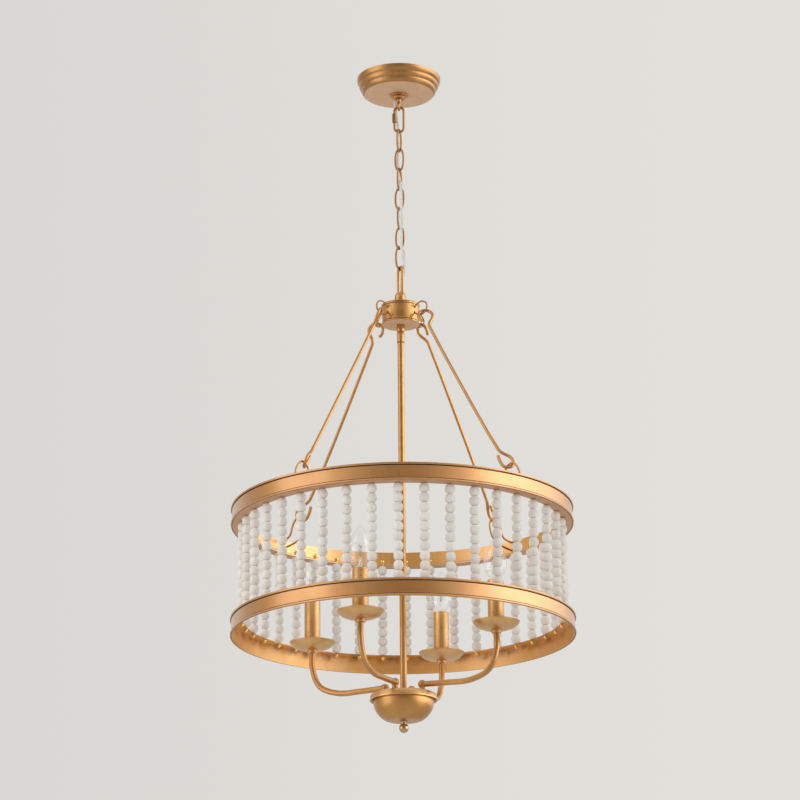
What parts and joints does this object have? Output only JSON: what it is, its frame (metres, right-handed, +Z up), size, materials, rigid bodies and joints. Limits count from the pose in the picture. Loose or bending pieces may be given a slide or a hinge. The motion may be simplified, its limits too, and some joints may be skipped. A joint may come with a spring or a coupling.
{
  "type": "beaded drum chandelier",
  "caption": "Ceiling chandelier on a chain: hooked rods carry a drum of bead strands between two rings, round candle arms on a central stem.",
  "frame": {"origin": "centre of the ceiling bracket's flat top face, against the ceiling", "axes": "+Z up into the ceiling, -Y towards the viewer of the picture, +X to the right in it"},
  "size_m": [0.512, 0.512, 1.0363],
  "materials": {
    "gilded_metal": "rubbed antique gold, satin",
    "bright_finial": "more polished antique gold",
    "plated_steel": "zinc plated",
    "whitewashed_wood": "whitewashed, matt, with grain showing",
    "clear_glass": "clear, thin",
    "cord_plastic": "clear flex, slightly cloudy",
    "lampholder_plastic": "dark moulded lampholder"
  },
  "bodies": {
    "ceiling_mount": {"ceiling_bracket": "plated_steel", "canopy": "gilded_metal", "canopy_collar": "gilded_metal", "canopy_loop": "gilded_metal", "lamp_cord": "cord_plastic"},
    "quick_link_body": {"quick_link": "gilded_metal"},
    "quick_link_collar": {"quick_link_nut": "gilded_metal"},
    "link_1": {"chain_link_1": "gilded_metal"},
    "link_2": {"chain_link_2": "gilded_metal"},
    "link_3": {"chain_link_3": "gilded_metal"},
    "link_4": {"chain_link_4": "gilded_metal"},
    "link_5": {"chain_link_5": "gilded_metal"},
    "link_6": {"chain_link_6": "gilded_metal"},
    "link_7": {"chain_link_7": "gilded_metal"},
    "frame": {"hub_loop": "gilded_metal", "hub_loop_collar": "gilded_metal", "hub_cap": "gilded_metal", "hub_body": "gilded_metal", "hub_nipple": "plated_steel", "hub_ring_1": "gilded_metal", "hub_ring_2": "gilded_metal", "hub_ring_3": "gilded_metal", "hub_ring_4": "gilded_metal", "stem_coupling": "gilded_metal", "stem": "gilded_metal", "bowl_lid": "gilded_metal", "stem_nut": "plated_steel", "bowl": "gilded_metal", "arm_1": "gilded_metal", "drip_pan_1": "gilded_metal", "candle_sleeve_1": "gilded_metal", "lamp_socket_1": "lampholder_plastic", "arm_2": "gilded_metal", "drip_pan_2": "gilded_metal", "candle_sleeve_2": "gilded_metal", "lamp_socket_2": "lampholder_plastic", "arm_3": "gilded_metal", "drip_pan_3": "gilded_metal", "candle_sleeve_3": "gilded_metal", "lamp_socket_3": "lampholder_plastic", "arm_4": "gilded_metal", "drip_pan_4": "gilded_metal", "candle_sleeve_4": "gilded_metal", "lamp_socket_4": "lampholder_plastic"},
    "rod_1": {"hook_rod_1": "gilded_metal"},
    "rod_2": {"hook_rod_2": "gilded_metal"},
    "rod_3": {"hook_rod_3": "gilded_metal"},
    "rod_4": {"hook_rod_4": "gilded_metal"},
    "drum": {"upper_ring": "gilded_metal", "bead_strands_1": "whitewashed_wood", "bead_strands_2": "whitewashed_wood", "bead_strands_3": "whitewashed_wood", "bead_strands_4": "whitewashed_wood", "lower_ring": "gilded_metal"},
    "lamp_1": {"bulb_1": "clear_glass"},
    "lamp_2": {"bulb_2": "clear_glass"},
    "lamp_3": {"bulb_3": "clear_glass"},
    "lamp_4": {"bulb_4": "clear_glass"},
    "finial_knob": {"finial": "bright_finial"}
  },
  "joints": [
    {"name": "quick_link_swing", "type": "hinge", "parent": "ceiling_mount", "child": "quick_link_body", "pos_m": [0, 0, -0.05075], "axis": [0.1045, 0.9945, 0], "range_deg": [-12, 12], "deforming": ["lamp_cord"]},
    {"name": "quick_link_nut_slide", "type": "slide", "parent": "quick_link_body", "child": "quick_link_collar", "axis": [0, 0, 1], "range_m": [-0.0075, 0]},
    {"name": "link_1_swing", "type": "hinge", "parent": "quick_link_body", "child": "link_1", "pos_m": [0, 0, -0.08835], "axis": [1, 0, 0], "range_deg": [-12, 12]},
    {"name": "link_2_swing", "type": "hinge", "parent": "link_1", "child": "link_2", "pos_m": [0, 0, -0.12045], "axis": [0.4226, 0.9063, 0], "range_deg": [-12, 12]},
    {"name": "link_3_swing", "type": "hinge", "parent": "link_2", "child": "link_3", "pos_m": [0, 0, -0.15275], "axis": [0.9063, -0.4226, 0], "range_deg": [-12, 12]},
    {"name": "link_4_swing", "type": "hinge", "parent": "link_3", "child": "link_4", "pos_m": [0, 0, -0.18505], "axis": [0.4226, 0.9063, 0], "range_deg": [-12, 12]},
    {"name": "link_5_swing", "type": "hinge", "parent": "link_4", "child": "link_5", "pos_m": [0, 0, -0.21735], "axis": [0.9063, -0.4226, 0], "range_deg": [-12, 12]},
    {"name": "link_6_swing", "type": "hinge", "parent": "link_5", "child": "link_6", "pos_m": [0, 0, -0.24965], "axis": [0.454, 0.891, 0], "range_deg": [-12, 12]},
    {"name": "link_7_swing", "type": "hinge", "parent": "link_6", "child": "link_7", "pos_m": [0, 0, -0.28195], "axis": [0.8572, -0.515, 0], "range_deg": [-12, 12]},
    {"name": "frame_swing", "type": "hinge", "parent": "link_7", "child": "frame", "pos_m": [0, 0, -0.31635], "axis": [0.8988, 0.4384, 0], "range_deg": [-12, 12]},
    {"name": "drum_twist", "type": "hinge", "parent": "frame", "child": "drum", "pos_m": [0, 0, -0.6975], "axis": [0, 0, 1], "range_deg": [-2.5, 2.5]},
    {"name": "rod_1_sway", "type": "hinge", "parent": "frame", "child": "rod_1", "pos_m": [0.03493, -0.03145, -0.3969], "axis": [0.6383, -0.5748, 0.5121], "range_deg": [-2, 2]},
    {"name": "rod_2_sway", "type": "hinge", "parent": "frame", "child": "rod_2", "pos_m": [0.03145, 0.03493, -0.3969], "axis": [0.5748, 0.6383, 0.5121], "range_deg": [-2, 2]},
    {"name": "rod_3_sway", "type": "hinge", "parent": "frame", "child": "rod_3", "pos_m": [-0.03493, 0.03145, -0.3969], "axis": [-0.6383, 0.5748, 0.5121], "range_deg": [-2, 2]},
    {"name": "rod_4_sway", "type": "hinge", "parent": "frame", "child": "rod_4", "pos_m": [-0.03145, -0.03493, -0.3969], "axis": [-0.5748, -0.6383, 0.5121], "range_deg": [-2, 2]},
    {"name": "bulb_1_lift", "type": "slide", "parent": "frame", "child": "lamp_1", "axis": [0, 0, 1], "range_m": [0, 0.025]},
    {"name": "bulb_2_lift", "type": "slide", "parent": "frame", "child": "lamp_2", "axis": [0, 0, 1], "range_m": [0, 0.025]},
    {"name": "bulb_3_lift", "type": "slide", "parent": "frame", "child": "lamp_3", "axis": [0, 0, 1], "range_m": [0, 0.025]},
    {"name": "bulb_4_lift", "type": "slide", "parent": "frame", "child": "lamp_4", "axis": [0, 0, 1], "range_m": [0, 0.025]},
    {"name": "finial_turn", "type": "hinge", "parent": "frame", "child": "finial_knob", "pos_m": [0, 0, -1.0182], "axis": [0, 0, 1], "continuous": true}
  ],
  "couplings": [
    {"joint": "rod_1_sway", "follows": "drum_twist", "ratio": 0.6602},
    {"joint": "rod_2_sway", "follows": "drum_twist", "ratio": 0.6602},
    {"joint": "rod_3_sway", "follows": "drum_twist", "ratio": 0.6602},
    {"joint": "rod_4_sway", "follows": "drum_twist", "ratio": 0.6602}
  ]
}
